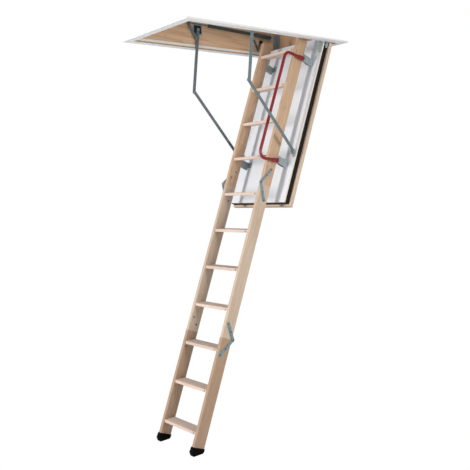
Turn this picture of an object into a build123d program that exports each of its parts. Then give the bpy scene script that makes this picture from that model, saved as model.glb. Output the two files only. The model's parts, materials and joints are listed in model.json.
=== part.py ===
"""Folding attic ladder: a three-section timber ladder on an insulated ceiling hatch.

Frame: origin at the centre of the ceiling opening, in the plane of the ceiling.
+X points to the hinge end of the opening, +Y to the left of a climber who faces
the treads, +Z up.  Millimetres.  The ladder is drawn unfolded, standing on the floor.
"""
from build123d import *
from math import atan2, cos, degrees, hypot, radians, sin, tan
import os

os.makedirs("parts", exist_ok=True)

# ---- driving dimensions ---------------------------------------------------
room_height = 2810.0            # floor to ceiling
ladder_angle = 67.7             # slope of the unfolded ladder, degrees
foot_x = -763.0                 # front edge of the stiles where it meets the floor

box_length = 1412.0             # outside of the lining box
box_width = 680.0
board = 18.0                    # thickness of the lining boards
box_top = 210.0                 # box height above the ceiling plane
trim_length = 1495.0            # outside of the white trim
trim_width = 764.0
trim_thick = 10.0
seal_thick = 4.0
seal_high = 17.0

stile_wide = 25.0
stile_deep = 90.0
ladder_width = 416.0
tread_rise = 261.7              # height from tread to tread
first_tread = 147.0             # height of the lowest tread's top above the floor
tread_thick = 21.0
tread_deep = 85.0
tread_housing = 6.0             # depth of the housing in each stile
upper_split = 1925.0            # along the stiles, from the floor
lower_split = 808.0
ladder_top = 3102.0
foot_high = 66.0                # along the stile, to the square top of the rubber foot
sole_high = 20.0                # solid part of the rubber foot

hatch_side = 315.0              # half width of the hatch's outer board
panel_thick = 28.0
core_half = 299.0              # half width of the black-sided core
core_thick = 36.0
rail_thick = 9.0
skin_thick = 3.0
free_ledge = 14.0
hinge_ledge = 34.0
hinge_rise = 20.0               # hinge pin above the face of the closed hatch
hinge_x = 638.0
hatch_past_hinge = 38.0
hatch_gap = 4.0                 # hatch edge to frame seal at the free end

strap_thick = 3.0
pin_gap = 0.05                  # radial running clearance of every pin

# ---- places that follow from them ------------------------------------------
slope = radians(ladder_angle)
up_x, up_z = cos(slope), sin(slope)
floor_z = -room_height
inner_x = box_length / 2 - board
inner_y = box_width / 2 - board
stile_out = ladder_width / 2
stile_in = stile_out - stile_wide


def ladder_side(y):
    """Side view of the ladder: local x up along the stiles, local y back, local z row +Y."""
    return Plane(origin=(foot_x, y, floor_z), x_dir=(up_x, 0, up_z), z_dir=(0, 1, 0))


def frame_side(y):
    """Side view of the frame: local x is row +X, local y is row +Z, local z is row -Y."""
    return Plane(origin=(0, y, 0), x_dir=(1, 0, 0), z_dir=(0, -1, 0))


def ladder_point(along, back):
    """Row x and z of a point given along and behind the stiles' front edge."""
    return (foot_x + along * up_x + back * up_z, floor_z + along * up_z - back * up_x)


def on_ladder(x, z):
    """Distances along and behind the stiles' front edge of a point in row x and z."""
    dx, dz = x - foot_x, z - floor_z
    return (dx * up_x + dz * up_z, dx * up_z - dz * up_x)


def bar(start, end, wide):
    """A flat bar with round ends whose end centres are start and end."""
    run, rise = end[0] - start[0], end[1] - start[1]
    with Locations(((start[0] + end[0]) / 2, (start[1] + end[1]) / 2)):
        SlotCenterToCenter(hypot(run, rise), wide, rotation=degrees(atan2(rise, run)))


def keep(part, name):
    """Label a finished piece and write it under its node name."""
    part.label = name
    export_step(part, f"parts/{name}.step")


hinge_z = -trim_thick + hinge_rise
hinge_along, hinge_back = on_ladder(hinge_x, hinge_z)
panel_back = hinge_back + hinge_rise               # outer face of the open hatch
panel_front = panel_back - panel_thick
core_front = panel_front - core_thick
rail_front = core_front - rail_thick
skin_front = rail_front - skin_thick
hatch_top = hinge_along + hatch_past_hinge
hatch_free = hinge_along - hinge_x - (inner_x - seal_thick - hatch_gap)

# ---- lining box --------------------------------------------------------------
fixing_x = 420.0                # fixing holes in the side boards, from the middle
fixing_low, fixing_high = 60.0, 170.0
fixing_radius = 3.5
end_fixing_y = 200.0

for side_name, side in (("left", 1), ("right", -1)):
    with BuildPart() as side_board:
        with BuildSketch(Plane.XY):
            with Locations((0, side * (inner_y + board / 2))):
                Rectangle(box_length, board)
        extrude(amount=box_top)
        with Locations(Plane.XZ.offset(-side * (inner_y + board / 2))):
            for x in (-fixing_x, fixing_x):
                for z in (fixing_low, fixing_high):
                    with Locations((x, z)):
                        Hole(fixing_radius, board)
        top_edges = side_board.edges().filter_by(Axis.X).group_by(Axis.Z)[-1]
        chamfer(top_edges, 1.5)
    keep(side_board.part, f"side_board_{side_name}")

for end_name, end in (("hinge_end_board", 1), ("free_end_board", -1)):
    with BuildPart() as end_board:
        with BuildSketch(Plane.XY):
            with Locations((end * (inner_x + board / 2), 0)):
                Rectangle(board, 2 * inner_y)
        extrude(amount=box_top)
        with Locations(Plane.YZ.offset(end * (inner_x + board / 2))):
            for y in (-end_fixing_y, end_fixing_y):
                with Locations((y, fixing_high)):
                    Hole(fixing_radius, board)
        top_edges = end_board.edges().filter_by(Axis.Y).group_by(Axis.Z)[-1]
        chamfer(top_edges, 1.5)
    keep(end_board.part, end_name)

# White trim: four mitred strips under the ceiling and under the box's lower edge.
outer = ((trim_length / 2, trim_width / 2), (-trim_length / 2, trim_width / 2),
         (-trim_length / 2, -trim_width / 2), (trim_length / 2, -trim_width / 2))
inner = ((inner_x, inner_y), (-inner_x, inner_y), (-inner_x, -inner_y), (inner_x, -inner_y))
with BuildPart() as ceiling_trim:
    for i in range(4):
        j = (i + 1) % 4
        with BuildSketch(Plane.XY.offset(-trim_thick)):
            with BuildLine():
                Polyline(outer[i], outer[j], inner[j], inner[i], close=True)
            make_face()
        extrude(amount=trim_thick)
keep(ceiling_trim.part, "ceiling_trim")

# White seal round the inside of the opening, left out where the hatch hinges stand.
seal_gap_x = 612.0
with BuildPart() as frame_seal:
    with BuildSketch(Plane.XY):
        Rectangle(2 * inner_x, 2 * inner_y)
        Rectangle(2 * (inner_x - seal_thick), 2 * (inner_y - seal_thick), mode=Mode.SUBTRACT)
    extrude(amount=seal_high)
    with BuildSketch(Plane.XY):
        for side in (1, -1):
            with Locations(((seal_gap_x + inner_x) / 2, side * inner_y)):
                Rectangle(inner_x - seal_gap_x, 2 * seal_thick)
    extrude(amount=seal_high, mode=Mode.SUBTRACT)
keep(frame_seal.part, "frame_seal")

# Heads of the screws that hold the end boards between the side boards.
with BuildPart() as board_screws:
    for side in (1, -1):
        with BuildSketch(frame_side(side * (inner_y + board))):
            for x in (-inner_x - board / 2, inner_x + board / 2):
                with Locations((x, 45), (x, 105), (x, 165)):
                    Circle(4.5)
        extrude(amount=-side * 1.5)
keep(board_screws.part, "board_screws")

# ---- fittings on the lining box ---------------------------------------------
plate = 3.0
wall_plate = inner_y - plate            # inner face of a plate on the side board
hinge_pin_radius = 5.0
leaf_outer = 305.0                      # outer face of the hatch's hinge leaf
leaf_thick = 5.0

with BuildPart() as hinge_brackets:
    for side in (1, -1):
        with BuildSketch(frame_side(side * inner_y)):
            with BuildLine():
                Polyline((645, 166), (inner_x, 166), (inner_x, 1), (624, 1), (624, 30), (645, 58),
                         close=True)
            make_face()
        extrude(amount=side * plate)
        with BuildSketch(frame_side(side * wall_plate)):
            with Locations((inner_x - plate / 2, 120)):
                Rectangle(plate, 92)
        extrude(amount=side * 32)
        with BuildSketch(frame_side(side * wall_plate)):
            with Locations((hinge_x, hinge_z)):
                Circle(8)
        extrude(amount=side * (wall_plate - leaf_outer - 0.4))
        with BuildSketch(frame_side(side * (leaf_outer + 0.4))):
            with Locations((hinge_x, hinge_z)):
                Circle(hinge_pin_radius)
        extrude(amount=side * (leaf_thick + 0.2))
keep(hinge_brackets.part, "hatch_hinge_brackets")

arm_pivot = (-131.0, 130.0)             # upper arm on the side board
elbow = (-198.0, -335.0)
arm_foot = (205.0, -819.0)              # lower arm on the hatch
lever_root = (-143.2, 45.1)             # where the spring lever leaves the upper arm
lever_end = (-220.0, 169.0)
spring_end = (607.0, 142.0)             # spring anchor on the side board
arm_outer, arm_thick = 313.0, 4.0
lower_outer = 306.4
pivot_radius = 6.0
small_pin = 5.0
head = 2.0

with BuildPart() as arm_pivots:
    for side in (1, -1):
        with BuildSketch(frame_side(side * inner_y)):
            with Locations(arm_pivot):
                RectangleRounded(84, 76, 8)
        extrude(amount=side * plate)
        with BuildSketch(frame_side(side * wall_plate)):
            with Locations(arm_pivot):
                Circle(pivot_radius)
        extrude(amount=side * (wall_plate - arm_outer + arm_thick + 0.3))
        with BuildSketch(frame_side(side * (arm_outer - arm_thick - 0.3))):
            with Locations(arm_pivot):
                Circle(10)
        extrude(amount=side * head)
keep(arm_pivots.part, "arm_pivots")

with BuildPart() as arm_bearings:
    for side in (1, -1):
        with BuildSketch(frame_side(side * wall_plate)):
            with Locations(arm_pivot):
                RectangleRounded(62, 56, 6)
                Circle(pivot_radius + 0.3, mode=Mode.SUBTRACT)
        extrude(amount=side * (wall_plate - arm_outer - 0.4))
keep(arm_bearings.part, "arm_bearings")

spring_y = 300.0                        # centre plane of each spring
eye_half = 2.0
with BuildPart() as spring_anchors:
    for side in (1, -1):
        with BuildSketch(frame_side(side * inner_y)):
            with Locations((spring_end[0] - 2, spring_end[1])):
                RectangleRounded(30, 62, 4)
        extrude(amount=side * plate)
        with BuildSketch(frame_side(side * wall_plate)):
            with Locations(spring_end):
                Circle(8)
        extrude(amount=side * (wall_plate - spring_y - eye_half - 0.3))
        with BuildSketch(frame_side(side * (spring_y + eye_half + 0.3))):
            with Locations(spring_end):
                Circle(small_pin)
        extrude(amount=side * (2 * eye_half + 0.6))
        with BuildSketch(frame_side(side * (spring_y - eye_half - 0.3))):
            with Locations(spring_end):
                Circle(8)
        extrude(amount=side * head)
keep(spring_anchors.part, "spring_anchors")

stop_top, stop_low, stop_rubber_at = (436.0, 106.0), (472.0, 34.0), (501.0, 100.0)
with BuildPart() as stop_brackets:
    for side in (1, -1):
        with BuildSketch(frame_side(side * inner_y)):
            bar(stop_top, stop_low, 20)
            bar(stop_low, stop_rubber_at, 20)
        extrude(amount=side * plate)
keep(stop_brackets.part, "stop_brackets")

with BuildPart() as stop_rubbers:
    for side in (1, -1):
        with BuildSketch(frame_side(side * wall_plate)):
            with Locations(stop_rubber_at):
                Circle(13)
        extrude(amount=side * 14, taper=8)
keep(stop_rubbers.part, "stop_rubbers")

# ---- hatch -------------------------------------------------------------------
notch_long, notch_wide = 64.0, 20.0     # corner cut for each hinge
with BuildPart() as hatch_board:
    with BuildSketch(ladder_side(-hatch_side)):
        with Locations(((hatch_free + hatch_top) / 2, (panel_back + panel_front) / 2)):
            Rectangle(hatch_top - hatch_free, panel_thick)
    extrude(amount=2 * hatch_side)
    for side in (1, -1):
        with BuildSketch(ladder_side(side * (hatch_side + 1))):
            with Locations((hatch_top - notch_long / 2 + 1, (panel_back + panel_front) / 2)):
                Rectangle(notch_long, panel_thick + 2)
        extrude(amount=-side * (notch_wide + 1), mode=Mode.SUBTRACT)
keep(hatch_board.part, "hatch_board")

core_top = hatch_top - hinge_ledge
core_free = hatch_free + free_ledge


def hatch_layer(front, thick, half_wide, inset):
    """One flat layer of the hatch between two faces, as a finished solid."""
    with BuildPart() as layer:
        with BuildSketch(ladder_side(-half_wide)):
            with Locations(((core_free + core_top) / 2, front + thick / 2)):
                Rectangle(core_top - core_free - 2 * inset, thick)
        extrude(amount=2 * half_wide)
    return layer.part


keep(hatch_layer(core_front, core_thick, core_half, 0), "hatch_core")
keep(hatch_layer(rail_front, rail_thick, core_half - 2, 2), "hatch_edge")
keep(hatch_layer(skin_front, skin_thick, core_half - 3, 3), "hatch_skin")

leaf_long = 62.0
leaf_middle = core_front + 18
lug_back, lug_low, lug_high = 128.0, 3014.0, 3096.0   # steel lug near the top of the skin
with BuildPart() as hinge_leaves:
    for side in (1, -1):
        with BuildSketch(ladder_side(side * leaf_outer)):
            bar((hinge_along, hinge_back), (hinge_along - 20, leaf_middle), 26)
            bar((hinge_along - 20, leaf_middle), (hinge_along - leaf_long, leaf_middle), 26)
            with Locations((hinge_along, hinge_back)):
                Circle(hinge_pin_radius + pin_gap, mode=Mode.SUBTRACT)
        extrude(amount=-side * leaf_thick)
        with BuildSketch(ladder_side(side * (leaf_outer - leaf_thick))):
            with Locations((hinge_along - leaf_long / 2 - 10, leaf_middle)):
                Rectangle(leaf_long - 20, 24)
        extrude(amount=-side * (leaf_outer - leaf_thick - core_half))
        lug_out = core_half - 4
        with BuildSketch(ladder_side(side * lug_out)):
            with Locations(((lug_low + lug_high) / 2, (lug_back + skin_front) / 2)):
                RectangleRounded(lug_high - lug_low, skin_front - lug_back, 6)
        extrude(amount=-side * plate)
        with BuildSketch(ladder_side(side * lug_out)):
            with Locations(((lug_low + lug_high) / 2, skin_front - plate / 2)):
                Rectangle(lug_high - lug_low - 14, plate)
        extrude(amount=-side * 24)
keep(hinge_leaves.part, "hatch_hinge_leaves")

arm_along, arm_back = on_ladder(*arm_foot)
foot_out = core_half - 3                # outer face of the bracket's upright plate
foot_long = 48.0
with BuildPart() as arm_brackets:
    for side in (1, -1):
        with BuildSketch(ladder_side(side * foot_out)):
            with Locations((arm_along, (skin_front + arm_back) / 2)):
                Rectangle(foot_long, skin_front - arm_back)
            with Locations((arm_along, arm_back)):
                Circle(foot_long / 2)
        extrude(amount=-side * plate)
        with BuildSketch(ladder_side(side * foot_out)):
            with Locations((arm_along, skin_front - plate / 2)):
                Rectangle(foot_long, plate)
        extrude(amount=-side * 26)
        with BuildSketch(ladder_side(side * foot_out)):
            with Locations((arm_along, arm_back)):
                Circle(8)
        extrude(amount=side * (lower_outer - arm_thick - 0.3 - foot_out))
        with BuildSketch(ladder_side(side * foot_out)):
            with Locations((arm_along, arm_back)):
                Circle(small_pin)
        extrude(amount=side * (lower_outer + 0.3 - foot_out))
        with BuildSketch(ladder_side(side * (lower_outer + 0.3))):
            with Locations((arm_along, arm_back)):
                Circle(9)
        extrude(amount=side * head)
keep(arm_brackets.part, "hatch_arm_brackets")

# ---- ladder sections ---------------------------------------------------------
holes_clear = 0.2
tread_inner = stile_in + tread_housing
front_setback = 3.0
screw_y = -(stile_in - 26)
screw_radius = 5.0
screw_depth = 5.0
strap_wide = 22.0
corner_round = 20.0


def tread_corner(number):
    """Row x and z of the upper front corner of a tread counted from 0 at the floor."""
    z = first_tread + number * tread_rise
    return (foot_x + z / tan(slope) + front_setback, floor_z + z)


def stile(side, outline, treads, rounded=None):
    """One stile from its side outline, with a housing for each tread."""
    with BuildPart() as work:
        with BuildSketch(ladder_side(side * stile_out)):
            with BuildLine():
                Polyline(*outline, close=True)
            make_face()
            if rounded:
                nearest = vertices().sort_by_distance(ladder_side(0).from_local_coords(rounded))
                fillet(nearest[0], corner_round)
        extrude(amount=-side * stile_wide)
        long_edges = work.edges().filter_by(Axis((0, 0, 0), (up_x, 0, up_z)))
        fillet(long_edges, 2)
        for number in treads:
            x, z = tread_corner(number)
            with BuildSketch(frame_side(side * stile_in)):
                with Locations((x + tread_deep / 2, z - tread_thick / 2)):
                    Rectangle(tread_deep, tread_thick)
            extrude(amount=-side * tread_housing, mode=Mode.SUBTRACT)
    return work.part


def tread(number):
    """One tread with a rounded front edge and a screw hole near its right end."""
    x, z = tread_corner(number)
    with BuildPart() as work:
        with BuildSketch(frame_side(tread_inner)):
            with Locations((x + tread_deep / 2, z - tread_thick / 2)):
                Rectangle(tread_deep, tread_thick)
        extrude(amount=2 * tread_inner)
        fillet(work.edges().filter_by(Axis.Y).group_by(Axis.X)[0], 2.5)
        with Locations(Plane(origin=(x, screw_y, z - tread_thick / 2), z_dir=(-1, 0, 0))):
            Hole(screw_radius + holes_clear, screw_depth)
    return work.part


def tread_screws(treads):
    """The screws in the front edges of a section's treads, as separate solids."""
    with BuildPart() as work:
        for number in treads:
            x, z = tread_corner(number)
            with BuildSketch(Plane(origin=(x + 1.5, screw_y, z - tread_thick / 2), z_dir=(1, 0, 0))):
                Circle(screw_radius)
                Rectangle(1.6, 5.6, mode=Mode.SUBTRACT)
                Rectangle(5.6, 1.6, mode=Mode.SUBTRACT)
            extrude(amount=screw_depth - 2.5)
            with BuildSketch(Plane(origin=(x + 4, screw_y, z - tread_thick / 2), z_dir=(1, 0, 0))):
                Circle(screw_radius)
            extrude(amount=screw_depth - 4)
    return work.part


floor_run = 1 / tan(slope)              # how far up the stile the floor climbs per mm back
sole_at = sole_high / up_z
top_outline = ((upper_split, 0), (ladder_top, 0), (ladder_top, stile_deep), (upper_split, stile_deep))
middle_outline = ((lower_split, 0), (upper_split, 0), (upper_split, stile_deep),
                  (lower_split, stile_deep))
bottom_outline = ((sole_at, 0), (lower_split, 0), (lower_split, stile_deep),
                  (sole_at + stile_deep * floor_run, stile_deep))
sections = (("bottom", bottom_outline, (0, 1, 2), (lower_split, 0)),
            ("middle", middle_outline, (3, 4, 5, 6), None),
            ("top", top_outline, (7, 8, 9, 10), None))
for section, outline, treads, rounded in sections:
    for side_name, side in (("left", 1), ("right", -1)):
        keep(stile(side, outline, treads, rounded), f"{section}_stile_{side_name}")
    for number in treads:
        keep(tread(number), f"tread_{number + 1:02d}")
    keep(tread_screws(treads), f"{section}_tread_screws")

# Rubber feet: a solid sole cut level with the floor, a toe that bulges forward and a
# sleeve round the stile with a square top.
wall = 3.0
toe_in, toe_up, toe_out = 13.0, 30.0, 8.0
for side_name, side in (("left", 1), ("right", -1)):
    with BuildPart() as foot:
        heel = (stile_deep + wall) * floor_run
        with BuildSketch(ladder_side(side * (stile_out + wall))):
            with BuildLine():
                Polyline((toe_in * floor_run, toe_in), (toe_up, -toe_out), (foot_high, -wall),
                         (foot_high, stile_deep + wall), (heel + 8, stile_deep + wall),
                         (heel - 8 * floor_run, stile_deep + wall - 8), close=True)
            make_face()
            toe = ladder_side(0).from_local_coords((toe_up, -toe_out))
            fillet(vertices().sort_by_distance(toe)[0], 10)
        extrude(amount=-side * (stile_wide + 2 * wall))
        with BuildSketch(ladder_side(side * stile_out)):
            with BuildLine():
                Polyline((sole_at, 0), (sole_at + 80, 0), (sole_at + 120, stile_deep),
                         (sole_at + stile_deep * floor_run, stile_deep), close=True)
            make_face()
        extrude(amount=-side * stile_wide, mode=Mode.SUBTRACT)
    keep(foot.part, f"foot_{side_name}")

# ---- hinge straps between the sections ---------------------------------------
fold_pin = 4.0
upper_pivot, lower_pivot = (upper_split, -13.0), (lower_split, 98.0)
inner_strap = ((("top_straps"), upper_pivot, (upper_split + 119, 56.0)),
               (("bottom_straps"), lower_pivot, (lower_split - 120, 19.0)))
outer_strap = ((("middle_upper_straps"), upper_pivot, (upper_split - 112, 56.0)),
               (("middle_lower_straps"), lower_pivot, (lower_split + 99, 22.0)))


def toward(start, end, distance):
    """The point on the line from start to end at a distance from start."""
    share = distance / hypot(end[0] - start[0], end[1] - start[1])
    return (start[0] + (end[0] - start[0]) * share, start[1] + (end[1] - start[1]) * share)


for name, pivot, end in inner_strap:
    with BuildPart() as strap:
        for side in (1, -1):
            with BuildSketch(ladder_side(side * stile_out)):
                bar(pivot, end, strap_wide)
            extrude(amount=side * strap_thick)
            with BuildSketch(ladder_side(side * (stile_out + strap_thick))):
                with Locations(pivot):
                    Circle(fold_pin)
            extrude(amount=side * (strap_thick + 0.6))
            with BuildSketch(ladder_side(side * (stile_out + 2 * strap_thick + 0.5))):
                with Locations(pivot):
                    Circle(7)
            extrude(amount=side * head)
            with BuildSketch(ladder_side(side * (stile_out + strap_thick))):
                with Locations(toward(end, pivot, 0), toward(end, pivot, 60)):
                    Circle(4.5)
            extrude(amount=side * 1.5)
    keep(strap.part, name)

for name, pivot, end in outer_strap:
    with BuildPart() as strap:
        for side in (1, -1):
            with BuildSketch(ladder_side(side * (stile_out + strap_thick + 0.2))):
                bar(pivot, end, strap_wide)
                with Locations(pivot):
                    Circle(fold_pin + pin_gap, mode=Mode.SUBTRACT)
            extrude(amount=side * strap_thick)
            with BuildSketch(ladder_side(side * stile_out)):
                bar(toward(pivot, end, 42), end, strap_wide)
            extrude(amount=side * (strap_thick + 0.2))
            with BuildSketch(ladder_side(side * (stile_out + 2 * strap_thick + 0.2))):
                with Locations(toward(end, pivot, 0), toward(end, pivot, 60)):
                    Circle(4.5)
            extrude(amount=side * 1.5)
    keep(strap.part, name)

# ---- brackets between the stiles and the hatch --------------------------------
bracket_tall = 62.0
for place, along in (("upper", 2945.0), ("lower", 2134.0)):
    with BuildPart() as standoff:
        for side in (1, -1):
            with BuildSketch(ladder_side(side * stile_out)):
                with Locations((along, (stile_deep + skin_front) / 2)):
                    Rectangle(bracket_tall, skin_front - stile_deep)
                low = [ladder_side(0).from_local_coords((along - bracket_tall / 2, back))
                       for back in (stile_deep, skin_front)]
                fillet(vertices().sort_by_distance(low[1])[0], 26)
            extrude(amount=-side * plate)
            with BuildSketch(ladder_side(side * stile_out)):
                with Locations((along, stile_deep + plate / 2)):
                    Rectangle(bracket_tall, plate)
            extrude(amount=-side * stile_wide)
            with BuildSketch(ladder_side(side * stile_out)):
                with Locations((along + 10, skin_front - plate / 2)):
                    Rectangle(bracket_tall - 20, plate)
            extrude(amount=-side * 46)
            with BuildSketch(ladder_side(side * stile_out)):
                with Locations((along, (stile_deep + skin_front) / 2)):
                    Circle(6)
            extrude(amount=side * 2)
    keep(standoff.part, f"{place}_standoffs")

# ---- handrail ------------------------------------------------------------------
rail_y = -232.0
rail_radius = 11.0
rail_bend = 48.0
blade_half = 7.0                        # half thickness of the flattened ends
blade_wide = 28.0
blade_long = 56.0
rail_path = ((2925.0, 84.0), (2895.0, -105.0), (2074.0, -105.0), (2124.0, 84.0))
rail_ends = ((rail_path[0], rail_path[1]), (rail_path[3], rail_path[2]))
with BuildPart() as handrail:
    with BuildLine(ladder_side(rail_y)) as rail_line:
        FilletPolyline(toward(*rail_ends[0], 30), rail_path[1], rail_path[2],
                       toward(*rail_ends[1], 30), radius=rail_bend)
    start = rail_line.wires()[0]
    with BuildSketch(Plane(origin=start @ 0, z_dir=start % 0)):
        Circle(rail_radius)
    sweep(path=start)
    for end, bend in rail_ends:
        with BuildSketch(ladder_side(rail_y - blade_half)):
            bar(end, toward(end, bend, blade_long), blade_wide)
        extrude(amount=2 * blade_half)
keep(handrail.part, "handrail")

# Steel saddles that carry the rail's ends past the stile, with a spacer and a bolt head.
saddle_back = 160.0
with BuildPart() as rail_saddles:
    for end, bend in rail_ends:
        with BuildSketch(ladder_side(rail_y - blade_half)):
            with Locations((end[0], (end[1] + saddle_back) / 2 - 4)):
                RectangleRounded(50, saddle_back - end[1] + 8, 14)
        extrude(amount=-plate)
        with BuildSketch(ladder_side(rail_y - blade_half - plate)):
            with Locations((end[0], saddle_back - plate / 2)):
                Rectangle(22, plate)
        extrude(amount=-rail_y + blade_half + plate - stile_out)
        with BuildSketch(ladder_side(-stile_out)):
            with Locations(end):
                Circle(9)
        extrude(amount=rail_y + blade_half + stile_out)
        with BuildSketch(ladder_side(rail_y - blade_half - plate)):
            with Locations(end):
                RegularPolygon(7, 6)
        extrude(amount=-4)
keep(rail_saddles.part, "handrail_saddles")

# ---- opening arms and springs ---------------------------------------------------
spring_run = (lever_end[0] - spring_end[0], lever_end[1] - spring_end[1])
spring_reach = hypot(*spring_run)
rod_radius = 4.0
coil_radius, sleeve_radius = 11.0, 16.0
coil_from, coil_to = 168.0, 642.0

for side_name, side in (("left", 1), ("right", -1)):
    with BuildPart() as upper_arm:
        with BuildSketch(frame_side(side * arm_outer)):
            bar(arm_pivot, elbow, 25)
            bar(lever_root, lever_end, 22)
            with Locations(arm_pivot):
                Circle(pivot_radius + pin_gap, mode=Mode.SUBTRACT)
        extrude(amount=side * arm_thick)
        with BuildSketch(frame_side(side * arm_outer)):
            with Locations(elbow, lever_end):
                Circle(8)
        extrude(amount=-side * 3)
    keep(upper_arm.part, f"upper_arm_{side_name}")

    with BuildPart() as lower_arm:
        with BuildSketch(frame_side(side * lower_outer)):
            bar(elbow, arm_foot, 24)
            with Locations(arm_foot):
                Circle(small_pin + pin_gap, mode=Mode.SUBTRACT)
        extrude(amount=side * arm_thick)
        with BuildSketch(frame_side(side * (lower_outer + 2.3))):
            with Locations(elbow):
                Circle(11)
        extrude(amount=side * (2.3 + arm_thick + 3))
    keep(lower_arm.part, f"lower_arm_{side_name}")

    anchor = (spring_end[0], side * spring_y, spring_end[1])
    pull = Plane(origin=anchor, x_dir=(0, 1, 0), z_dir=(spring_run[0], 0, spring_run[1]))
    with BuildPart() as spring:
        with BuildSketch(frame_side(side * (spring_y + eye_half))):
            bar(spring_end, toward(spring_end, lever_end, 24), 18)
            with Locations(spring_end):
                Circle(small_pin + pin_gap, mode=Mode.SUBTRACT)
        extrude(amount=side * 2 * eye_half)
        with BuildSketch(pull.offset(18)):
            Circle(sleeve_radius)
        extrude(amount=coil_from - 18)
        with BuildSketch(pull.offset(coil_from)):
            Circle(coil_radius)
        extrude(amount=coil_to - coil_from)
        with BuildSketch(pull.offset(200)):
            Circle(rod_radius + 0.08)
        extrude(amount=coil_to - 200, mode=Mode.SUBTRACT)
    keep(spring.part, f"spring_{side_name}")

    with BuildPart() as pull_rod:
        with BuildSketch(pull.offset(360)):
            Circle(rod_radius)
        extrude(amount=spring_reach - 360)
        with BuildSketch(frame_side(side * (spring_y + 8.7))):
            with Locations(lever_end):
                Circle(11)
        extrude(amount=side * 13)
    keep(pull_rod.part, f"pull_rod_{side_name}")
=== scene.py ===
# %% [markdown]
# # A folding attic ladder, from its frame to a finished picture
#
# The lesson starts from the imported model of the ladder.  Its nodes give the shape and
# the bodies give the motion.  The cells below give every node a detailed material, add
# the small pieces that a plain solid leaves out, and set up the light and the camera.

# %% Load the frame
import bmesh
import bpy
import json
import numpy as np
from math import cos, hypot, pi, radians, sin
from mathutils import Matrix, Vector


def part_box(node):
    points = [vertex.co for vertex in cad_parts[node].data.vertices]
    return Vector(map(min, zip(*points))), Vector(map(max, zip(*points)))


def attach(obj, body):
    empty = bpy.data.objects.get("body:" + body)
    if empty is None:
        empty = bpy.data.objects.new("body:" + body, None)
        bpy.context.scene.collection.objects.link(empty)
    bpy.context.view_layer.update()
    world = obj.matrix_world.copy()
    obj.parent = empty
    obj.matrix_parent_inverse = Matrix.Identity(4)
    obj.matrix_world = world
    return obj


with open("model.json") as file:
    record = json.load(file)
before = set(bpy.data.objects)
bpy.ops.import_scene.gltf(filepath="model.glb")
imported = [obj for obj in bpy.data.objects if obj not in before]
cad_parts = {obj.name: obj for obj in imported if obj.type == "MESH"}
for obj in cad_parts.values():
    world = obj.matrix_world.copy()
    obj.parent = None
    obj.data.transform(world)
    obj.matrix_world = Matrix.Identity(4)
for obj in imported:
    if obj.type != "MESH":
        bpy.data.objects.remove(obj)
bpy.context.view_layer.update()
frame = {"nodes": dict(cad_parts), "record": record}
nodes = frame["nodes"]

# %% [markdown]
# ## Measures
#
# All lengths are in metres, in the row frame: the origin is the centre of the ceiling
# opening, +X points to the hinge end and +Z is up.  The ladder leans at a fixed slope,
# so two more coordinates help: `along` runs up the stiles from the floor and `back`
# runs square to them, away from the climber.

# %% Measures of the ladder
SLOPE = radians(67.7)
UP_X, UP_Z = cos(SLOPE), sin(SLOPE)
FOOT_X, FLOOR_Z = -0.763, -2.810
STILE_OUT, STILE_IN = 0.208, 0.183
INNER_X, INNER_Y = 0.688, 0.322
UPPER_SPLIT, LOWER_SPLIT, LADDER_TOP = 1.925, 0.808, 3.102


def on_ladder(along, back, y):
    """Row position of a point: the foot plus `along` up the slope plus `back` square to it."""
    x = FOOT_X + along * UP_X + back * UP_Z
    return Vector((x, y, FLOOR_Z + along * UP_Z - back * UP_X))


print("ladder top at", tuple(round(v, 3) for v in on_ladder(LADDER_TOP, 0, 0)))

# %% [markdown]
# ## Small helpers for meshes
#
# Every extra piece is a grid of points joined by four-sided faces.  A grid that closes on
# itself in one direction makes a tube; one that closes in both makes a ring.

# %% Mesh helpers
MERGE_WITHIN = 1e-6


def grid_faces(rows, cols, wrap_rows, wrap_cols):
    """Corner indices of the quads of a rows by cols grid: each joins a point, the next in
    its row, and the same two in the next row, counted round again where the grid wraps."""
    i = np.arange(rows if wrap_rows else rows - 1)
    j = np.arange(cols if wrap_cols else cols - 1)
    a, b = np.meshgrid(i, j, indexing="ij")
    c, d = (a + 1) % rows, (b + 1) % cols
    quads = np.stack([a * cols + b, a * cols + d, c * cols + d, c * cols + b], axis=-1)
    return quads.reshape(-1, 4)


def make_piece(name, points, quads, smooth=True):
    """A mesh object from a list of points and a list of faces.  Points at one place are
    merged, which closes the poles of a turned piece, and then its faces are turned out."""
    mesh = bpy.data.meshes.new(name)
    mesh.from_pydata(np.reshape(points, (-1, 3)).tolist(), [], np.asarray(quads, int).tolist())
    work = bmesh.new()
    work.from_mesh(mesh)
    bmesh.ops.remove_doubles(work, verts=work.verts, dist=MERGE_WITHIN)
    bmesh.ops.recalc_face_normals(work, faces=work.faces)
    work.to_mesh(mesh)
    work.free()
    mesh.polygons.foreach_set("use_smooth", np.full(len(mesh.polygons), smooth))
    mesh.set_sharp_from_angle(angle=radians(35))
    mesh.update()
    piece = bpy.data.objects.new(name, mesh)
    bpy.context.scene.collection.objects.link(piece)
    return piece


def frame_along(direction):
    """Two unit vectors square to a direction and to each other, by crossing it with the
    row axis it is least like, and then with the result."""
    axis = np.asarray(direction, float) / np.linalg.norm(direction)
    helper = np.eye(3)[np.argmin(np.abs(axis))]
    first = np.cross(axis, helper)
    first /= np.linalg.norm(first)
    return axis, first, np.cross(axis, first)


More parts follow.
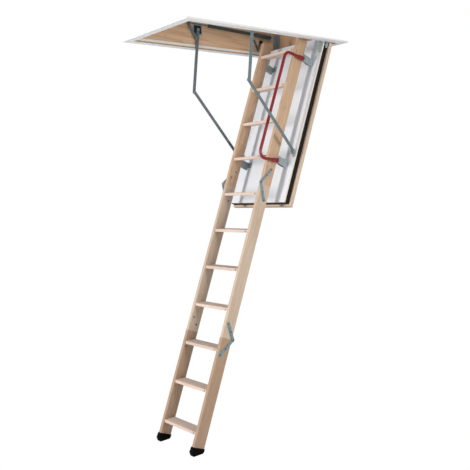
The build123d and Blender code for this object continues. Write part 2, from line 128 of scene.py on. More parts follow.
def turned(centre, direction, profile, steps=28):
    """Points and faces of a turned piece: each profile pair is (radius, height), and its
    circle is centre + height x axis + radius x (cos a x first + sin a x second)."""
    axis, first, second = frame_along(direction)
    angle = np.linspace(0, 2 * pi, steps, endpoint=False)
    ring = np.cos(angle)[:, None] * first + np.sin(angle)[:, None] * second
    profile = np.asarray(profile, float)
    points = (np.asarray(centre, float) + profile[:, 1][:, None, None] * axis
              + profile[:, 0][:, None, None] * ring)
    return points.reshape(-1, 3), grid_faces(len(profile), steps, False, True)


def merge(parts):
    """One list of points and one of faces from several, with each part's face numbers
    moved up by the count of the points before it."""
    points, quads, count = [], [], 0
    for some_points, some_quads in parts:
        points.append(np.asarray(some_points, float).reshape(-1, 3))
        quads.append(np.asarray(some_quads) + count)
        count += len(points[-1])
    return np.concatenate(points), np.concatenate(quads)


def tube_along(path, radius, reference, steps=12):
    """A round tube along a path of points, closed at both ends.  Each circle is square to
    the path's direction there, which is the difference of its neighbours: it is point +
    radius x (cos a x side + sin a x other), where side is direction x reference and other
    is direction x side."""
    path = np.asarray(path, float)
    run = np.gradient(path, axis=0)
    run /= np.linalg.norm(run, axis=1)[:, None]
    side = np.cross(run, reference)
    side /= np.linalg.norm(side, axis=1)[:, None]
    other = np.cross(run, side)
    angle = np.linspace(0, 2 * pi, steps, endpoint=False)[None, :, None]
    rings = path[:, None] + radius * (np.cos(angle) * side[:, None] + np.sin(angle) * other[:, None])
    caps = np.repeat(path[[0, -1]][:, None], steps, axis=1)
    rings = np.concatenate([caps[:1], rings, caps[1:]])
    return rings.reshape(-1, 3), grid_faces(len(rings), steps, False, True)


DOME = [(0, 1.0), (0.30, 0.97), (0.55, 0.86), (0.76, 0.66), (0.92, 0.36), (1.0, 0.0), (1.0, -0.25),
        (0, -0.25)]


def dome(centre, direction, radius, height):
    """A rivet head: the profile is a flattened quarter circle, scaled to the radius and
    height, with a short skirt that reaches into the plate."""
    profile = [(r * radius, h * height) for r, h in DOME]
    return turned(centre, direction, profile, 24)


def add(name, parts, body, slot, smooth=True):
    """A finished extra piece on one body, wearing one of the record's material slots."""
    piece = make_piece(name, *merge(parts), smooth=smooth)
    piece.data.materials.append(MATERIALS[slot])
    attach(piece, body)
    return piece


print("mesh helpers ready")

# %% [markdown]
# ## Materials
#
# A small builder keeps the shader graphs readable.  Numbers go straight onto sockets.

# %% Shader builder
class Graph:
    """A material and short ways to add nodes to it."""

    def __init__(self, name):
        self.material = bpy.data.materials.new(name)
        self.material.use_nodes = True
        self.tree = self.material.node_tree
        self.tree.nodes.clear()
        self.out = self.tree.nodes.new("ShaderNodeOutputMaterial")
        self.skin = self.tree.nodes.new("ShaderNodeBsdfPrincipled")
        self.tree.links.new(self.skin.outputs[0], self.out.inputs[0])

    def node(self, kind, **settings):
        """A new shader node of a kind, with its plain settings."""
        made = self.tree.nodes.new("ShaderNode" + kind)
        for key, value in settings.items():
            setattr(made, key, value)
        return made

    def put(self, socket, value):
        """Links an output to a socket, or sets a plain number or colour on it."""
        if isinstance(value, bpy.types.NodeSocket):
            self.tree.links.new(value, socket)
        elif isinstance(value, (tuple, list)) and len(value) == 3 and len(socket.default_value) == 4:
            socket.default_value = (*value, 1)
        else:
            socket.default_value = value

    def math(self, what, a, b=0.5, c=0.0):
        """The result of one sum on up to three numbers."""
        made = self.node("Math", operation=what)
        for socket, value in zip(made.inputs, (a, b, c)):
            self.put(socket, value)
        return made.outputs[0]

    def mix(self, share, a, b):
        """Colour a mixed toward colour b by a share."""
        made = self.node("Mix", data_type="RGBA")
        self.put(made.inputs[0], share)
        self.put(made.inputs[6], a)
        self.put(made.inputs[7], b)
        return made.outputs[2]

    def span(self, value, low, high, out_low=0.0, out_high=1.0):
        """A value carried from one range to another, and held inside it."""
        made = self.node("MapRange")
        for socket, number in zip(made.inputs, (value, low, high, out_low, out_high)):
            self.put(socket, number)
        return made.outputs[0]

    def place(self, scale=(1, 1, 1), turn=0.0, shift=None):
        """Object coordinates, turned about Y first and then stretched."""
        where = self.node("TexCoord").outputs["Object"]
        turned_to = self.node("Mapping")
        self.put(turned_to.inputs["Vector"], where)
        self.put(turned_to.inputs["Rotation"], (0.0, turn, 0.0))
        point = turned_to.outputs[0]
        if shift is not None:
            moved = self.node("VectorMath", operation="ADD")
            self.put(moved.inputs[0], point)
            self.put(moved.inputs[1], shift)
            point = moved.outputs[0]
        stretched = self.node("VectorMath", operation="MULTIPLY")
        self.put(stretched.inputs[0], point)
        stretched.inputs[1].default_value = scale
        return stretched.outputs[0]

    def noise(self, where, scale, detail=4.0, rough=0.5, twist=0.0):
        """Cloudy noise at a place, from 0 to 1."""
        made = self.node("TexNoise")
        self.put(made.inputs["Vector"], where)
        for key, value in (("Scale", scale), ("Detail", detail), ("Roughness", rough),
                           ("Distortion", twist)):
            made.inputs[key].default_value = value
        return made.outputs["Fac"]

    def bump(self, height, strength, distance=0.001):
        """Small relief on the surface, from a height."""
        made = self.node("Bump")
        made.inputs["Strength"].default_value = strength
        made.inputs["Distance"].default_value = distance
        self.put(made.inputs["Height"], height)
        self.put(self.skin.inputs["Normal"], made.outputs[0])

    def finish(self, colour, rough, **more):
        """Puts the colour, the roughness and any other inputs on the surface."""
        self.put(self.skin.inputs["Base Color"], colour)
        self.put(self.skin.inputs["Roughness"], rough)
        for key, value in more.items():
            self.put(self.skin.inputs[key.replace("_", " ")], value)
        return self.material


print("shader builder ready")

# %% [markdown]
# ### Pine
#
# Rings: bands of distance from a line along the grain, which slow noise bends and a
# slight slope tips, so that the flat faces show long arches.  Fibres: noise stretched
# sixty-five times along the grain.  Knots: small dark cells, pulled out along the grain.
# End grain: where the surface faces along the grain, the colour darkens.  Worn patches
# are a little paler.  A picture of timber would be quicker, but this runs unbroken over
# every edge and the three sections can differ in tone.

# %% Pine
def pine(name, light, dark, grain="slope", knots=0.0, ring_scale=42.0, contrast=0.55, rough=0.48,
         worn=0.25):
    """A pine material.  Colour = light mixed toward dark by ring band x contrast, then by
    fibre, then by knot; roughness rises on the fibres; height follows both."""
    g = Graph(name)
    turn = {"slope": SLOPE, "x": 0.0, "y": 0.0}[grain]
    info = g.node("ObjectInfo").outputs["Random"]
    lot = g.node("CombineXYZ")
    g.put(lot.inputs[0], g.math("MULTIPLY", info, 7.3))
    g.put(lot.inputs[1], g.math("MULTIPLY", info, 0.11))
    g.put(lot.inputs[2], g.math("MULTIPLY", info, 0.07))
    shift = lot.outputs[0]
    if grain == "y":
        slow, fast, cell = (9, 0.5, 9), (260, 4, 260), (14, 3.2, 14)
    else:
        slow, fast, cell = (0.5, 9, 9), (4, 260, 260), (3.2, 14, 14)
    bend = g.noise(g.place(slow, turn, shift), 1.6, 3, 0.5, 0.3)
    where = g.place((1, 1, 1), turn, shift)
    apart = g.node("SeparateXYZ")
    g.put(apart.inputs[0], where)
    if grain == "y":
        across, deep, length = apart.outputs[0], apart.outputs[2], apart.outputs[1]
    else:
        across, deep, length = apart.outputs[2], apart.outputs[1], apart.outputs[0]
    across = g.math("ADD", across, g.math("MULTIPLY", bend, 0.16))
    deep = g.math("ADD", deep, g.math("MULTIPLY", length, 0.035))
    far = g.math("SQRT", g.math("ADD", g.math("MULTIPLY", across, across),
                                g.math("MULTIPLY", deep, deep)))
    band = g.math("FRACT", g.math("MULTIPLY", far, ring_scale * 2.2))
    late = g.span(band, 0.25, 0.98)
    late = g.math("POWER", late, 2.2)
    edge = g.span(band, 0.98, 1.0, 1.0, 0.0)
    late = g.math("MULTIPLY", late, edge)
    fibre = g.noise(g.place(fast, turn, shift), 1.0, 3, 0.6)
    patch = g.noise(g.place((2, 6, 6), turn, shift), 1.0, 4, 0.55, 0.4)
    colour = g.mix(g.math("MULTIPLY", late, contrast), light, dark)
    colour = g.mix(g.span(patch, 0.3, 0.7, 0.0, 0.30), colour, dark)
    colour = g.mix(g.span(fibre, 0.35, 0.75, 0.0, 0.22), colour, tuple(0.72 * v for v in dark))
    tint = g.math("ADD", 0.94, g.math("MULTIPLY", info, 0.12))
    shade = g.node("HueSaturation")
    g.put(shade.inputs["Value"], tint)
    g.put(shade.inputs["Color"], colour)
    colour = shade.outputs[0]
    height = g.math("ADD", g.math("MULTIPLY", late, 0.6), g.math("MULTIPLY", fibre, 0.5))
    if knots:
        cells = g.node("TexVoronoi")
        g.put(cells.inputs["Vector"], g.place(cell, turn, shift))
        cells.inputs["Scale"].default_value = 0.55
        keep_some = g.node("SeparateColor")
        g.put(keep_some.inputs[0], cells.outputs["Color"])
        chosen = g.math("GREATER_THAN", keep_some.outputs[0], 1 - knots)
        core = g.math("MULTIPLY", g.span(cells.outputs["Distance"], 0.10, 0.18, 1, 0), chosen)
        halo = g.math("MULTIPLY", g.span(cells.outputs["Distance"], 0.12, 0.36, 1, 0), chosen)
        colour = g.mix(g.math("MULTIPLY", halo, 0.45), colour, tuple(0.8 * v for v in dark))
        colour = g.mix(g.math("MULTIPLY", core, 0.85), colour, (0.16, 0.065, 0.025))
        height = g.math("SUBTRACT", height, g.math("MULTIPLY", core, 0.8))
    axis = {"slope": (UP_X, 0, UP_Z), "x": (1, 0, 0), "y": (0, 1, 0)}[grain]
    facing = g.node("VectorMath", operation="DOT_PRODUCT")
    g.put(facing.inputs[0], g.node("TexCoord").outputs["Normal"])
    facing.inputs[1].default_value = axis
    end = g.span(g.math("ABSOLUTE", facing.outputs["Value"]), 0.75, 0.95)
    colour = g.mix(g.math("MULTIPLY", end, 0.55), colour, tuple(0.62 * v for v in dark))
    scuff = g.noise(g.place((30, 30, 30), turn, shift), 1.0, 6, 0.7)
    scuff = g.span(scuff, 0.60, 0.72)
    colour = g.mix(g.math("MULTIPLY", scuff, worn), colour, tuple(min(1, 1.1 * v) for v in light))
    g.bump(height, 0.28, 0.0005)
    gloss = g.math("ADD", g.span(fibre, 0.3, 0.7, rough - 0.06, rough + 0.08),
                   g.math("MULTIPLY", scuff, 0.08))
    return g.finish(colour, gloss, Specular_IOR_Level=0.35)


MATERIALS = {}
MATERIALS["top_stiles"] = pine("top_stiles", (0.56, 0.40, 0.275), (0.36, 0.20, 0.10), knots=0.14,
                               contrast=0.70)
MATERIALS["lower_stiles"] = pine("lower_stiles", (0.58, 0.47, 0.37), (0.36, 0.245, 0.165), knots=0.05,
                                 contrast=0.40)
MATERIALS["bottom_stiles"] = pine("bottom_stiles", (0.43, 0.30, 0.21), (0.27, 0.155, 0.090),
                                  contrast=0.45)
MATERIALS["treads"] = pine("treads", (0.66, 0.53, 0.46), (0.46, 0.33, 0.26), "y", 0.04,
                           contrast=0.42)
MATERIALS["lining_boards"] = pine("lining_boards", (0.70, 0.49, 0.33), (0.48, 0.27, 0.14), "x",
                                  0.30, ring_scale=22.0, contrast=0.65)
MATERIALS["hatch_board"] = pine("hatch_board", (0.60, 0.48, 0.38), (0.42, 0.29, 0.20), contrast=0.5)
MATERIALS["hatch_edge"] = pine("hatch_edge", (0.80, 0.72, 0.60), (0.66, 0.54, 0.42), contrast=0.3)
print("pine materials:", len(MATERIALS))

# %% [markdown]
# ### Metals, paints and plastics
#
# Zinc: small pale and dark cells (the spangle), fine rolling lines and spots where the
# coating has dulled.  Paint: a slight orange peel, slow darker patches and small specks.
# Rubber and plastic: a fine grain and scuffs.

# %% Metals, paints and plastics
def zinc(name, colour, rough=0.42, spangle=240.0, dull=0.35, metallic=0.75):
    """Galvanised steel.  Colour = base x (0.82 + 0.34 x spangle cell), mixed with chalky
    spots where slow noise is high; roughness follows both; height is the fine noise."""
    g = Graph(name)
    where = g.place()
    cells = g.node("TexVoronoi")
    g.put(cells.inputs["Vector"], where)
    cells.inputs["Scale"].default_value = spangle
    tone = g.node("SeparateColor")
    g.put(tone.inputs[0], cells.outputs["Color"])
    lift = g.math("ADD", 0.82, g.math("MULTIPLY", tone.outputs[0], 0.34))
    shade = g.node("HueSaturation")
    g.put(shade.inputs["Value"], lift)
    g.put(shade.inputs["Color"], colour)
    chalk = g.span(g.noise(where, 38, 6, 0.65), 0.52, 0.70)
    fine = g.noise(where, 900, 3, 0.6)
    lines = g.noise(g.place((900, 900, 30)), 1.0, 2, 0.5)
    tone_mix = g.mix(g.math("MULTIPLY", chalk, dull), shade.outputs[0],
                     tuple(min(1, v * 1.25 + 0.06) for v in colour))
    tone_mix = g.mix(g.span(lines, 0.45, 0.8, 0.0, 0.25), tone_mix, tuple(0.6 * v for v in colour))
    g.bump(fine, 0.18, 0.0003)
    gloss = g.math("ADD", rough, g.math("ADD", g.math("MULTIPLY", chalk, 0.22),
                                        g.math("MULTIPLY", tone.outputs[1], 0.08)))
    return g.finish(tone_mix, gloss, Metallic=metallic)


def paint(name, colour, rough, coat=0.0, peel=0.12, dust=0.15, peel_scale=420.0):
    """Paint: base colour, darker where slow noise is high, with an orange-peel height."""
    g = Graph(name)
    where = g.place()
    slow = g.span(g.noise(where, 9, 5, 0.6), 0.45, 0.75)
    specks = g.span(g.noise(where, 260, 2, 0.5), 0.66, 0.74)
    tone = g.mix(g.math("MULTIPLY", slow, dust), colour, tuple(0.72 * v for v in colour))
    tone = g.mix(g.math("MULTIPLY", specks, dust), tone, tuple(0.5 * v for v in colour))
    g.bump(g.noise(where, peel_scale, 2, 0.5), peel, 0.0004)
    gloss = g.math("ADD", rough, g.math("MULTIPLY", slow, 0.12))
    return g.finish(tone, gloss, Coat_Weight=coat, Coat_Roughness=0.12)


def polymer(name, colour, rough, grain_scale=700.0, strength=0.3, scuff=0.35, shine=0.08):
    """Rubber or plastic: a dark base with a fine moulded grain and paler scuffs."""
    g = Graph(name)
    where = g.place()
    marks = g.span(g.noise(where, 26, 7, 0.7), 0.56, 0.72)
    tone = g.mix(g.math("MULTIPLY", marks, scuff), colour, tuple(v * 1.8 + 0.004 for v in colour))
    g.bump(g.noise(where, grain_scale, 3, 0.6), strength, 0.0005)
    return g.finish(tone, g.math("ADD", rough, g.math("MULTIPLY", marks, 0.15)),
                    Specular_IOR_Level=shine)


MATERIALS["zinc_fittings"] = zinc("zinc_fittings", (0.31, 0.37, 0.385), 0.48, metallic=0.45)
MATERIALS["straps"] = zinc("straps", (0.20, 0.29, 0.33), 0.48, metallic=0.4)
MATERIALS["arms"] = zinc("arms", (0.145, 0.185, 0.20), 0.55, dull=0.18, metallic=0.25)
MATERIALS["pull_rods"] = zinc("pull_rods", (0.10, 0.13, 0.14), 0.40, dull=0.2, metallic=0.4)
MATERIALS["screws"] = zinc("screws", (0.045, 0.020, 0.015), 0.55, 500.0, dull=0.1, metallic=0.1)
MATERIALS["springs"] = paint("springs", (0.045, 0.058, 0.055), 0.45, 0.0)
MATERIALS["handrail"] = paint("handrail", (0.20, 0.0015, 0.008), 0.32, 0.25, 0.05, 0.10, 160.0)
MATERIALS["hatch_skin"] = paint("hatch_skin", (0.68, 0.71, 0.76), 0.50, 0.0, 0.10, 0.06)
MATERIALS["seal"] = polymer("seal", (0.74, 0.74, 0.72), 0.55, 500.0, 0.2, 0.1)
MATERIALS["black_plastic"] = polymer("black_plastic", (0.010, 0.010, 0.012), 0.42, shine=0.3)
MATERIALS["black_rubber"] = polymer("black_rubber", (0.008, 0.008, 0.008), 0.65, shine=0.2)
MATERIALS["hatch_core"] = polymer("hatch_core", (0.012, 0.010, 0.010), 0.70, 300.0, 0.5, 0.2, 0.15)
MATERIALS["feet"] = polymer("feet", (0.002, 0.002, 0.0022), 0.60, 600.0, 0.35, 0.2, 0.05)

EDGE_SKIN = 0.0004


def trim_paint():
    """White trim that is painted below and brown on its inner edge: the brown shows
    where |x| and |y| are both no more than the half sizes of the opening."""
    g = Graph("white_trim")
    where = g.place()
    apart = g.node("SeparateXYZ")
    g.put(apart.inputs[0], where)
    # The mask below marks the inner edge inside the opening, which is coloured brown.
    in_x = g.math("LESS_THAN", g.math("ABSOLUTE", apart.outputs[0]), INNER_X + EDGE_SKIN)
    in_y = g.math("LESS_THAN", g.math("ABSOLUTE", apart.outputs[1]), INNER_Y + EDGE_SKIN)
    brown_inner_edge = g.math("MULTIPLY", in_x, in_y)
    slow = g.span(g.noise(where, 7, 5, 0.6), 0.4, 0.75)
    fibre = g.noise(g.place((300, 300, 40)), 1.0, 4, 0.6)
    white = g.mix(g.math("MULTIPLY", slow, 0.10), (0.73, 0.745, 0.76), (0.64, 0.65, 0.67))
    brown = g.mix(g.span(fibre, 0.3, 0.7), (0.34, 0.20, 0.11), (0.52, 0.34, 0.20))
    g.bump(g.noise(where, 350, 2, 0.5), 0.10, 0.0004)
    gloss = g.math("ADD", 0.40, g.math("MULTIPLY", slow, 0.12))
    return g.finish(g.mix(brown_inner_edge, white, brown), gloss)


MATERIALS["white_trim"] = trim_paint()
print("materials:", len(MATERIALS))

# %% [markdown]
# ## Dress the nodes
#
# Each node takes the material of its slot from the record, apart from three: the bottom
# stiles are browner than the middle ones, and the stop brackets are dark steel.  Edges
# get a narrow bevel, so that they catch the light the way eased timber and folded steel do.

# %% Dress the nodes
BEVEL = {"top_stiles": 0.0012, "lower_stiles": 0.0012, "treads": 0.0012, "lining_boards": 0.0010,
         "white_trim": 0.0008, "hatch_board": 0.0012, "hatch_edge": 0.0006, "hatch_skin": 0.0005,
         "feet": 0.0020, "zinc_fittings": 0.0005, "straps": 0.0006, "arms": 0.0006,
         "black_plastic": 0.0010, "hatch_core": 0.0010, "seal": 0.0008}
OTHER_FINISH = {"bottom_stile_left": "bottom_stiles", "bottom_stile_right": "bottom_stiles",
                "stop_brackets": "pull_rods"}
slot_of = {p["node"]: p["material_slot"] for p in frame["record"]["subparts"]}
for name, node in nodes.items():
    slot = slot_of[name]
    finish = OTHER_FINISH.get(name, slot)
    node.data.materials.clear()
    node.data.materials.append(MATERIALS[finish])
    node.data.polygons.foreach_set("use_smooth", np.ones(len(node.data.polygons), bool))
    node.data.set_sharp_from_angle(angle=radians(32))
    if slot in BEVEL:
        bevel = node.modifiers.new("eased edges", "BEVEL")
        bevel.width = BEVEL[slot]
        bevel.segments = 2
        bevel.limit_method = "ANGLE"
        bevel.angle_limit = radians(50)
        bevel.harden_normals = True
print("dressed:", len(nodes))

# %% [markdown]
# ## Springs
#
# Each spring swings on its anchor.  A closed coil is a helix: the point turns once round
# the pull line for every pitch it moves along it.

# %% Springs
ARM_PIVOT, ELBOW, ARM_FOOT = (-0.131, 0.130), (-0.198, -0.335), (0.205, -0.819)
LEVER_END, ANCHOR = (-0.220, 0.169), (0.607, 0.142)
reach = hypot(LEVER_END[0] - ANCHOR[0], LEVER_END[1] - ANCHOR[1])
PULL = np.array([(LEVER_END[0] - ANCHOR[0]) / reach, 0.0, (LEVER_END[1] - ANCHOR[1]) / reach])


def coil(y, start, stop, pitch, radius, wire):
    """A helix round the pull line through (anchor, y): angle = 2 pi x distance / pitch."""
    turns = (stop - start) / pitch
    share = np.linspace(0, 1, int(turns * 14))
    angle = 2 * pi * turns * share
    _, first, second = frame_along(PULL)
    centre = np.array([ANCHOR[0], y, ANCHOR[1]]) + (start + (stop - start) * share)[:, None] * PULL
    path = centre + radius * (np.cos(angle)[:, None] * first + np.sin(angle)[:, None] * second)
    return tube_along(path, wire, PULL, 7)


for side_name, side in (("left", 1), ("right", -1)):
    y = side * 0.300
    base = np.array([ANCHOR[0], y, ANCHOR[1]])
    sleeve = [(0.0, 0.008), (0.009, 0.008), (0.012, 0.010), (0.0165, 0.018), (0.0172, 0.020),
              (0.0172, 0.030), (0.0162, 0.031)]
    for at in (0.070, 0.095, 0.120):
        sleeve += [(0.0162, at - 0.0016), (0.0170, at - 0.0008), (0.0170, at + 0.0008),
                   (0.0162, at + 0.0016)]
    sleeve += [(0.0162, 0.158), (0.0172, 0.159), (0.0172, 0.168), (0.0160, 0.171), (0.0118, 0.176),
               (0.0, 0.176)]
    add(f"spring_sleeve_{side_name}", [turned(base, PULL, sleeve, 32)],
        f"spring_{side_name}_body", "springs")
    add(f"spring_coil_{side_name}", [coil(y, 0.176, 0.640, 0.0042, 0.0108, 0.0017)],
        f"spring_{side_name}_body", "springs")
    collar = [(0.0, -0.002), (0.0085, -0.002), (0.0125, 0.002), (0.0125, 0.010), (0.007, 0.014),
              (0.0045, 0.016), (0.0, 0.016)]
    add(f"spring_mouth_{side_name}", [turned(base + PULL * 0.636, PULL, collar, 28)],
        f"spring_{side_name}_body", "springs")
print("springs done")

# %% [markdown]
# ## Rivets, screws and caps
#
# Steel pieces are held by domed rivets and by pan-head screws.  A screw's recess is a
# cross.  It could be cut out of a disc, but a turned head keeps its faces in even rings,
# and one circle of it swings in and out to draw the cross.

# %% Rivets and screws
def screw_head(centre, direction, radius):
    """A pan head with a star-shaped hollow: the hollow's radius swings with the cosine of
    four times the angle, which makes a cross, and drops below the head's top."""
    axis, first, second = frame_along(direction)
    steps = 48
    angle = np.linspace(0, 2 * pi, steps, endpoint=False)
    ring = np.cos(angle)[:, None] * first + np.sin(angle)[:, None] * second
    whole = np.ones(steps)
    cross = 0.30 + 0.24 * np.maximum(0, np.cos(4 * angle)) ** 1.5
    rows = [(0 * whole, -0.25), (whole, -0.25), (whole, 0.05), (0.95 * whole, 0.22),
            (0.75 * whole, 0.36), (cross, 0.42), (0.8 * cross, 0.05), (0 * whole, 0.0)]
    points = [np.asarray(centre, float) + radius * (r[:, None] * ring + h * axis) for r, h in rows]
    return np.concatenate(points), grid_faces(len(rows), steps, False, True)


def beside(along, back, side, out):
    """Row position of a point at `out` from the middle plane, on the left or right side."""
    return on_ladder(along, back, side * out)


strap_face, outer_face = STILE_OUT + 0.0045, STILE_OUT + 0.0077
RIVET_PITCH = 0.060
upper_pin, lower_pin = (UPPER_SPLIT, -0.013), (LOWER_SPLIT, 0.098)


def toward(a, b, distance):
    """The point on the line from a to b at a distance from a."""
    share = distance / hypot(b[0] - a[0], b[1] - a[1])
    return (a[0] + (b[0] - a[0]) * share, a[1] + (b[1] - a[1]) * share)


strap_sets = (
    ("top_straps_rivets", "hatch", upper_pin, (UPPER_SPLIT + 0.119, 0.056), strap_face, True),
    ("bottom_straps_rivets", "bottom_section", lower_pin, (LOWER_SPLIT - 0.120, 0.019), strap_face,
     True),
    ("middle_upper_rivets", "middle_section", upper_pin, (UPPER_SPLIT - 0.112, 0.056), outer_face,
     False),
    ("middle_lower_rivets", "middle_section", lower_pin, (LOWER_SPLIT + 0.099, 0.022), outer_face,
     False))
for name, body, pin, end, face, has_pin in strap_sets:
    parts = []
    for side in (1, -1):
        out = (0, side, 0)
        for far in (0.0, RIVET_PITCH):
            spot = toward(end, pin, far)
            parts.append(dome(beside(*spot, side, face), out, 0.0062, 0.0020))
            parts.append(dome(beside(*spot, side, STILE_IN), (0, -side, 0), 0.0075, 0.0022))
        if has_pin:
            parts.append(dome(beside(*pin, side, STILE_OUT + 0.0085), out, 0.0068, 0.0022))
    add(name, parts, body, "pull_rods")

print("strap rivets:", len(strap_sets), "pieces")

# %% Handrail nuts and standoff screws
FITTING_HEAD = 0.0040
parts = [dome(on_ladder(along, 0.084, -0.246), (0, -1, 0), 0.0048, 0.0020)
         for along in (2.925, 2.124)]
add("handrail_nuts", parts, "hatch", "zinc_fittings")

parts = []
for along in (2.945, 2.134):
    for side in (1, -1):
        for shift in (-0.016, 0.016):
            parts.append(screw_head(on_ladder(along + shift, 0.0932, side * 0.196),
                                    (UP_Z, 0, -UP_X), 0.0042))
        for shift in (-0.012, 0.016):
            parts.append(screw_head(on_ladder(along + 0.010 + shift, 0.1668, side * 0.176),
                                    (-UP_Z, 0, UP_X), 0.0042))
        parts.append(dome(on_ladder(along, 0.130, side * 0.2100), (0, side, 0), 0.0060, 0.0018))
add("standoff_screws", parts, "hatch", "zinc_fittings")
print("handrail nuts and standoff screws done")

# %% Hatch screws
SKIN_BACK = 0.1669
parts = []
for side in (1, -1):
    for along in (3.090, 3.112):
        parts.append(screw_head(on_ladder(along, 0.2001, side * 0.3052), (0, side, 0), 0.0045))
    for shift in (-0.015, 0.015):
        parts.append(screw_head(on_ladder(2.2085 + shift, SKIN_BACK, side * 0.280),
                                (-UP_Z, 0, UP_X), FITTING_HEAD))
    for shift in (-0.020, 0.020):
        parts.append(screw_head(on_ladder(3.055 + shift, SKIN_BACK, side * 0.280),
                                (-UP_Z, 0, UP_X), FITTING_HEAD))
    parts.append(dome(np.array([ARM_FOOT[0], side * 0.3087, ARM_FOOT[1]]), (0, side, 0), 0.0082, 0.0016))
add("hatch_screws", parts, "hatch", "zinc_fittings")
print("hatch screws done")

# %% Frame screws
BOARD_FACE, ROD_FACE = 0.3188, 0.2957
parts = []
for side in (1, -1):
    inward = (0, -side, 0)
    for x, z in ((0.668, 0.155), (0.668, 0.120), (0.668, 0.088), (0.660, 0.030)):
        parts.append(screw_head((x, side * BOARD_FACE, z), inward, 0.0045))
    for x, z in ((-0.166, 0.160), (-0.096, 0.160), (-0.166, 0.100), (-0.096, 0.100)):
        parts.append(screw_head((x, side * BOARD_FACE, z), inward, 0.0042))
    for z in (0.119, 0.165):
        parts.append(screw_head((0.605, side * BOARD_FACE, z), inward, FITTING_HEAD))
    parts.append(dome((ARM_PIVOT[0], side * 0.3067, ARM_PIVOT[1]), inward, 0.0095, 0.0022))
    parts.append(dome((ANCHOR[0], side * ROD_FACE, ANCHOR[1]), inward, 0.0075, 0.0018))
    parts.append(screw_head((0.449, side * BOARD_FACE, 0.080), inward, FITTING_HEAD))
    parts.append(screw_head((0.482, side * BOARD_FACE, 0.057), inward, FITTING_HEAD))
add("frame_screws", parts, "frame", "zinc_fittings")
print("frame screws done")

# %% Rivets of the arms
ARM_FACE = 0.3160
for side_name, side in (("left", 1), ("right", -1)):
    parts = [dome((ELBOW[0], side * ARM_FACE, ELBOW[1]), (0, side, 0), 0.0078, 0.0014),
             dome((LEVER_END[0], side * ARM_FACE, LEVER_END[1]), (0, side, 0), 0.0078, 0.0014)]
    add(f"upper_arm_rivets_{side_name}", parts, f"upper_arm_{side_name}_body", "arms")
    parts = [dome((ELBOW[0], side * 0.2994, ELBOW[1]), (0, -side, 0), 0.0105, 0.0026)]
    add(f"lower_arm_rivets_{side_name}", parts, f"lower_arm_{side_name}_body", "arms")
    parts = [dome((LEVER_END[0], side * ROD_FACE, LEVER_END[1]), (0, -side, 0), 0.0105, 0.0022)]
    add(f"rod_eye_rivets_{side_name}", parts, f"pull_rod_{side_name}_body", "pull_rods")
print("arm rivets done")

# %% [markdown]
# ## Seal lip and feet
#
# The seal carries a soft round lip, and each rubber foot has raised bars on its sides.
# Both could be a height in the material, but they change the outline, so they are made.

# %% Seal lip
def seal_run(points):
    """A round lip along straight runs, each cut into short steps so it can be lit well."""
    corner = np.asarray(points, float)
    share = np.linspace(0, 1, 12, endpoint=False)[None, :, None]
    runs = corner[:-1, None] + (corner[1:] - corner[:-1])[:, None] * share
    path = np.concatenate([runs.reshape(-1, 3), corner[-1:]])
    return tube_along(path, LIP_RADIUS, (0, 0, 1), 8)


LIP_RADIUS = 0.0022
LIP_IN, LIP_Z, LIP_END = 0.0046, 0.0135, 0.600
edge_x, edge_y = INNER_X - LIP_IN, INNER_Y - LIP_IN
lip = seal_run([(LIP_END, edge_y, LIP_Z), (-edge_x, edge_y, LIP_Z), (-edge_x, -edge_y, LIP_Z),
                (LIP_END, -edge_y, LIP_Z)])
add("seal_lip", [lip], "frame", "seal")
print("seal lip done")

# %% Foot bars
def bar_box(centre, half, turn_axes):
    """A small box from its centre, three half lengths and three directions: each corner is
    the centre plus or minus each half length along its own direction."""
    signs = np.stack(np.meshgrid((-1, 1), (-1, 1), (-1, 1), indexing="ij"), axis=-1).reshape(-1, 3)
    corner = np.asarray(centre) + (signs * half) @ np.array(turn_axes)
    quads = [(0, 1, 3, 2), (4, 6, 7, 5), (0, 4, 5, 1), (2, 3, 7, 6), (0, 2, 6, 4), (1, 5, 7, 3)]
    return corner, np.array(quads)


FOOT_WALL = 0.003
UP = np.array([UP_X, 0, UP_Z])
BACK = np.array([UP_Z, 0, -UP_X])
LEFT = np.array([0.0, 1.0, 0.0])
for side_name, side in (("left", 1), ("right", -1)):
    parts = []
    for along, reach_back in ((0.0600, 0.088), (0.0520, 0.088), (0.0440, 0.078)):
        for face in (STILE_OUT + FOOT_WALL, STILE_IN - FOOT_WALL):
            parts.append(bar_box(on_ladder(along, reach_back / 2, side * face),
                                 (reach_back / 2 - 0.003, 0.0006, 0.0018), (BACK, LEFT, UP)))
    add(f"foot_bars_{side_name}", parts, "bottom_section", "feet", smooth=False)
print("feet done")

# %% [markdown]
# ## Stage, light and camera
#
# A pale floor and a white ceiling stand round the ladder.  The real ceiling hides the
# outside of the lining box from anyone in the room, so the stage has a sheet in its place,
# on the camera's two sides.  Only the camera sees the sheet, and only from below: it is
# clear from above and blocks no light.  The camera also sees the floor and the sky as
# plain white, while a dimmer sky lights the ladder.  The plain display transform keeps
# that white as it is.

# %% Sky
bpy.context.scene.view_settings.view_transform = "Standard"
SURROUND = 1.0
SKY_LIGHT = 0.46
world = bpy.data.worlds.new("studio")
bpy.context.scene.world = world
world.use_nodes = True
sky = world.node_tree.nodes["Background"]
seen = world.node_tree.nodes.new("ShaderNodeLightPath")
strength = world.node_tree.nodes.new("ShaderNodeMapRange")
strength.inputs["To Min"].default_value = SKY_LIGHT
strength.inputs["To Max"].default_value = SURROUND
world.node_tree.links.new(seen.outputs["Is Camera Ray"], strength.inputs["Value"])
world.node_tree.links.new(strength.outputs[0], sky.inputs["Strength"])
sky.inputs["Color"].default_value = (1.0, 1.0, 1.0, 1)
print("sky:", SKY_LIGHT, "seen as", SURROUND)


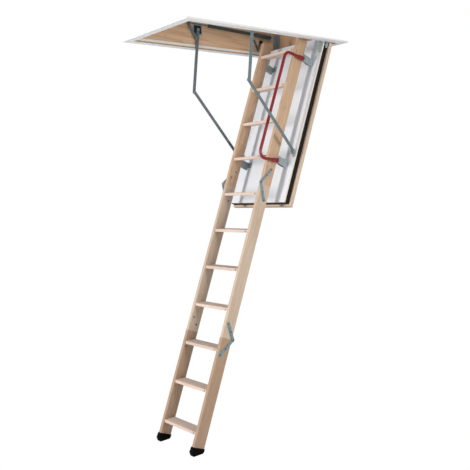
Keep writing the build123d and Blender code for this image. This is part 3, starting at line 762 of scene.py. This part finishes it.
# %% Floor and ceiling
def stage_sheet(name, rectangles, height):
    """Flat rectangles at a height, each from its low and high x and its low and high y."""
    mesh = bpy.data.meshes.new(name)
    corners = [(x, y, height) for x_low, x_high, y_low, y_high in rectangles
               for x, y in ((x_low, y_low), (x_high, y_low), (x_high, y_high), (x_low, y_high))]
    mesh.from_pydata(corners, [], np.arange(len(corners)).reshape(-1, 4).tolist())
    sheet = bpy.data.objects.new(name, mesh)
    bpy.context.scene.collection.objects.link(sheet)
    return sheet


def white_for_camera(g):
    """What bounces off is the finished surface, and what the camera sees first is plain
    white, as bright as the surroundings."""
    shine = g.node("Emission")
    g.put(shine.inputs["Strength"], SURROUND)
    both = g.node("MixShader")
    g.put(both.inputs[0], g.node("LightPath").outputs["Is Camera Ray"])
    g.put(both.inputs[1], g.skin.outputs[0])
    g.put(both.inputs[2], shine.outputs[0])
    g.put(g.out.inputs[0], both.outputs[0])


FLOOR_REACH = 40.0
floor = stage_sheet("floor", [(-FLOOR_REACH, FLOOR_REACH, -FLOOR_REACH, FLOOR_REACH)], FLOOR_Z - 0.0005)
pale = Graph("pale_floor")
pale.finish((0.90, 0.90, 0.90), 0.85, Specular_IOR_Level=0.1)
white_for_camera(pale)
floor.data.materials.append(pale.material)

CEILING_REACH, CEILING_Z = 5.0, 0.0004
trim_low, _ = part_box("ceiling_trim")
hole_x, hole_y = trim_low[0] + 0.0002, trim_low[1] + 0.0002
near_strip = (-CEILING_REACH, CEILING_REACH, -CEILING_REACH, hole_y)
end_strip = (-CEILING_REACH, hole_x, hole_y, CEILING_REACH)
ceiling = stage_sheet("ceiling", [near_strip, end_strip], CEILING_Z)
white = Graph("white_ceiling")
clear = white.node("BsdfTransparent").outputs[0]
glow = white.node("Emission")
white.put(glow.inputs["Strength"], SURROUND)
side_seen = white.node("NewGeometry").outputs["Backfacing"]
from_below = white.math("MULTIPLY", side_seen, white.node("LightPath").outputs["Is Camera Ray"])
choice = white.node("MixShader")
white.put(choice.inputs[0], from_below)
white.put(choice.inputs[1], clear)
white.put(choice.inputs[2], glow.outputs[0])
white.put(white.out.inputs[0], choice.outputs[0])
ceiling.data.materials.append(white.material)
print("floor and ceiling done")

# %% [markdown]
# ### Lamps
#
# Two soft boxes light the ladder: a tall one off its free end, and a small one on the
# handrail's side.  With the tall one alone, the outer faces on the handrail's side would
# have the sky's light only.

# %% Lamps
def softbox(name, place, aim, wide, tall, power, colour=(1, 1, 1)):
    """A rectangular area light at a place, turned so that its -Z axis points at its aim."""
    light = bpy.data.lights.new(name, "AREA")
    light.shape, light.size, light.size_y = "RECTANGLE", wide, tall
    light.energy, light.color = power, colour
    lamp = bpy.data.objects.new(name, light)
    lamp.location = place
    lamp.rotation_euler = (Vector(aim) - Vector(place)).to_track_quat("-Z", "Y").to_euler()
    bpy.context.scene.collection.objects.link(lamp)
    return lamp


softbox("key", (-5.4, 0.9, -0.6), (0.2, 0.0, -1.0), 0.7, 3.6, 250, (1.0, 0.985, 0.96))
softbox("near_side", (-0.3, -3.6, -0.5), (-0.2, 0.0, -1.2), 0.5, 1.6, 70, (1.0, 0.98, 0.95))
print("lamps done")

# %% [markdown]
# ### Camera
#
# The camera stands in the room, off the free end and on the handrail's side.  Its three
# turns are given as numbers, because aiming it at a point would lose the slight roll.

# %% Camera
EYE = Vector((-3.2544, -3.7471, -1.0474))
YAW, PITCH, ROLL = 0.69547, -0.07180, -0.04711
LENS = 51.63
ahead = Vector((sin(YAW) * cos(PITCH), cos(YAW) * cos(PITCH), sin(PITCH)))
level_right = Vector((cos(YAW), -sin(YAW), 0))
level_up = level_right.cross(ahead)
right = cos(ROLL) * level_right + sin(ROLL) * level_up
up = -sin(ROLL) * level_right + cos(ROLL) * level_up
lens = bpy.data.cameras.new("camera")
lens.sensor_width = 36.0
lens.lens = LENS
camera = bpy.data.objects.new("camera", lens)
camera.matrix_world = Matrix((
    (right.x, up.x, -ahead.x, EYE.x),
    (right.y, up.y, -ahead.y, EYE.y),
    (right.z, up.z, -ahead.z, EYE.z),
    (0, 0, 0, 1)))
bpy.context.scene.collection.objects.link(camera)
bpy.context.scene.camera = camera
print("camera at", tuple(round(v, 3) for v in EYE))
